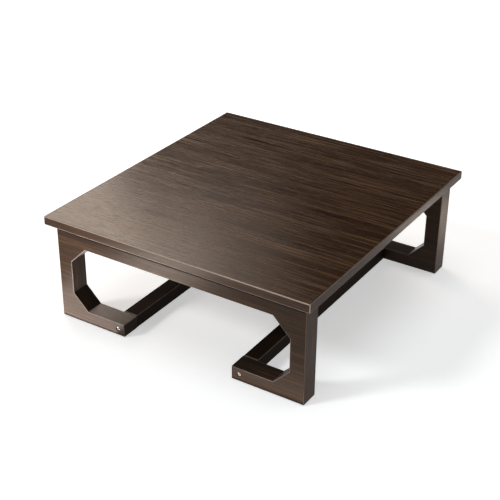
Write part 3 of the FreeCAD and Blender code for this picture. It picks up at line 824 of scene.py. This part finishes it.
rail_dowel_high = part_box("rail_dowels")[1]
rail_dowel_length = 2 * (rail_dowel_high.y - RAIL_END)
beside_bolt = rail_dowel_high.x - RAIL_DOWEL_RADIUS - RAIL_X
rail_dowel_x = [rail * RAIL_X + side * beside_bolt for rail in SIDES for side in SIDES]
rail_dowels = [((x, y * RAIL_END, RAIL_Z), (0, y, 0)) for x in rail_dowel_x for y in SIDES]
make_from_points("rail_dowels", dowel_tree, rail_dowels, {
    "Radius": RAIL_DOWEL_RADIUS, "Length": rail_dowel_length, "Flutes": 16, "Flute Depth": 0.3 * MM,
    "Eased End": 1 * MM, "Finish": beech})

leg_dowel_low, leg_dowel_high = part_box("top_dowels")
leg_dowel_length = leg_dowel_high.z - leg_dowel_low.z
leg_dowel_z = (leg_dowel_low.z + leg_dowel_high.z) / 2
leg_dowels = [((x * LEG_X, y * FRAME_Y, leg_dowel_z), (0, 0, 1)) for x in SIDES for y in SIDES]
make_from_points("top_dowels", dowel_tree, leg_dowels, {
    "Radius": LEG_DOWEL_RADIUS, "Length": leg_dowel_length, "Flutes": 20, "Flute Depth": 0.35 * MM,
    "Eased End": 1.2 * MM, "Finish": beech})
print("dowels in mm:", round(rail_dowel_length / MM, 1), "and", round(leg_dowel_length / MM, 1), "long")

# %% [markdown]
# ## Felt pads
# Eight discs of pressed felt lift the table off the floor. A punched disc is not a sharp cylinder: its
# rim is rounded by the press and a little ragged. The tree rounds a cylinder in towards both faces. It
# then frays the rim with noise of a fixed seed, read at each pad's own place, so no two are the same.

# %% The pad tree
ROUND_STEPS, SIDE_STEPS, FACE_STEPS = 96, 8, 6
ROUNDING_POWER = 4.0
FRAY_SIZE = 2.4 * MM
FRAY_DETAIL = 3.0

pad_tree, pad = new_tree("felt_pads", {
    "Radius": LENGTH, "Thickness": LENGTH, "Rounding": LENGTH, "Fray": LENGTH, "Seed": SEED})
disc = add_node(pad_tree, "GeometryNodeMeshCylinder", {
    "Vertices": ROUND_STEPS, "Side Segments": SIDE_STEPS, "Fill Segments": FACE_STEPS,
    "Radius": pad["Radius"], "Depth": pad["Thickness"]}, fill_type="TRIANGLE_FAN")
position = add_node(pad_tree, "GeometryNodeInputPosition")
part = add_node(pad_tree, "ShaderNodeSeparateXYZ", {0: position})
level = add_node(pad_tree, "ShaderNodeMath", {0: part.outputs["Z"], 1: pad["Thickness"]},
                 operation="DIVIDE")
doubled = add_node(pad_tree, "ShaderNodeMath", {0: level, 1: 2.0}, operation="MULTIPLY")
steep = add_node(pad_tree, "ShaderNodeMath", {0: doubled, 1: ROUNDING_POWER}, operation="POWER")
reach = add_node(pad_tree, "ShaderNodeVectorMath", {0: position}, operation="LENGTH")
share = add_node(pad_tree, "ShaderNodeMath", {0: reach.outputs["Value"], 1: pad["Radius"]},
                 operation="DIVIDE")
pull = add_node(pad_tree, "ShaderNodeMath", {0: steep, 1: share}, operation="MULTIPLY")
pull_length = add_node(pad_tree, "ShaderNodeMath", {0: pull, 1: pad["Rounding"]}, operation="MULTIPLY")
pull_in = add_node(pad_tree, "ShaderNodeMath", {0: pull_length, 1: -1.0}, operation="MULTIPLY")
placed_pads = put_on_points(pad_tree, pad, push_out(pad_tree, disc, pull_in))
fibres = add_node(pad_tree, "ShaderNodeTexNoise", {
    "Scale": 1 / FRAY_SIZE, "Detail": FRAY_DETAIL, "W": pad["Seed"]}, noise_dimensions="4D")
fray_length = add_node(pad_tree, "ShaderNodeMath", {0: fibres, 1: pad["Fray"]}, operation="MULTIPLY")
facing = add_node(pad_tree, "GeometryNodeInputNormal")
sideways = add_node(pad_tree, "ShaderNodeVectorMath", {0: facing, 1: (-1, -1, 0)}, operation="MULTIPLY")
fray = add_node(pad_tree, "ShaderNodeVectorMath", {0: sideways, "Scale": fray_length}, operation="SCALE")
frayed = add_node(pad_tree, "GeometryNodeSetPosition", {"Geometry": placed_pads, "Offset": fray})
end_tree(pad_tree, pad, frayed)

# %% Pads under the feet
pad_low, pad_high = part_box("felt_pads")
pad_thickness = pad_high.z - pad_low.z
pad_radius = pad_high.x - LEG_X
pad_places = [((side * x, y * FRAME_Y, pad_low.z + pad_thickness / 2), (0, 0, 1))
              for side in SIDES for x in (RAIL_X, LEG_X) for y in SIDES]
pads = make_from_points("felt_pads", pad_tree, pad_places, {
    "Radius": pad_radius, "Thickness": pad_thickness, "Rounding": 0.5 * MM, "Fray": 0.6 * MM, "Seed": 7.0,
    "Finish": felt})
print("pads in mm:", round(2 * pad_radius / MM, 1), "across,", round(pad_thickness / MM, 1), "thick")
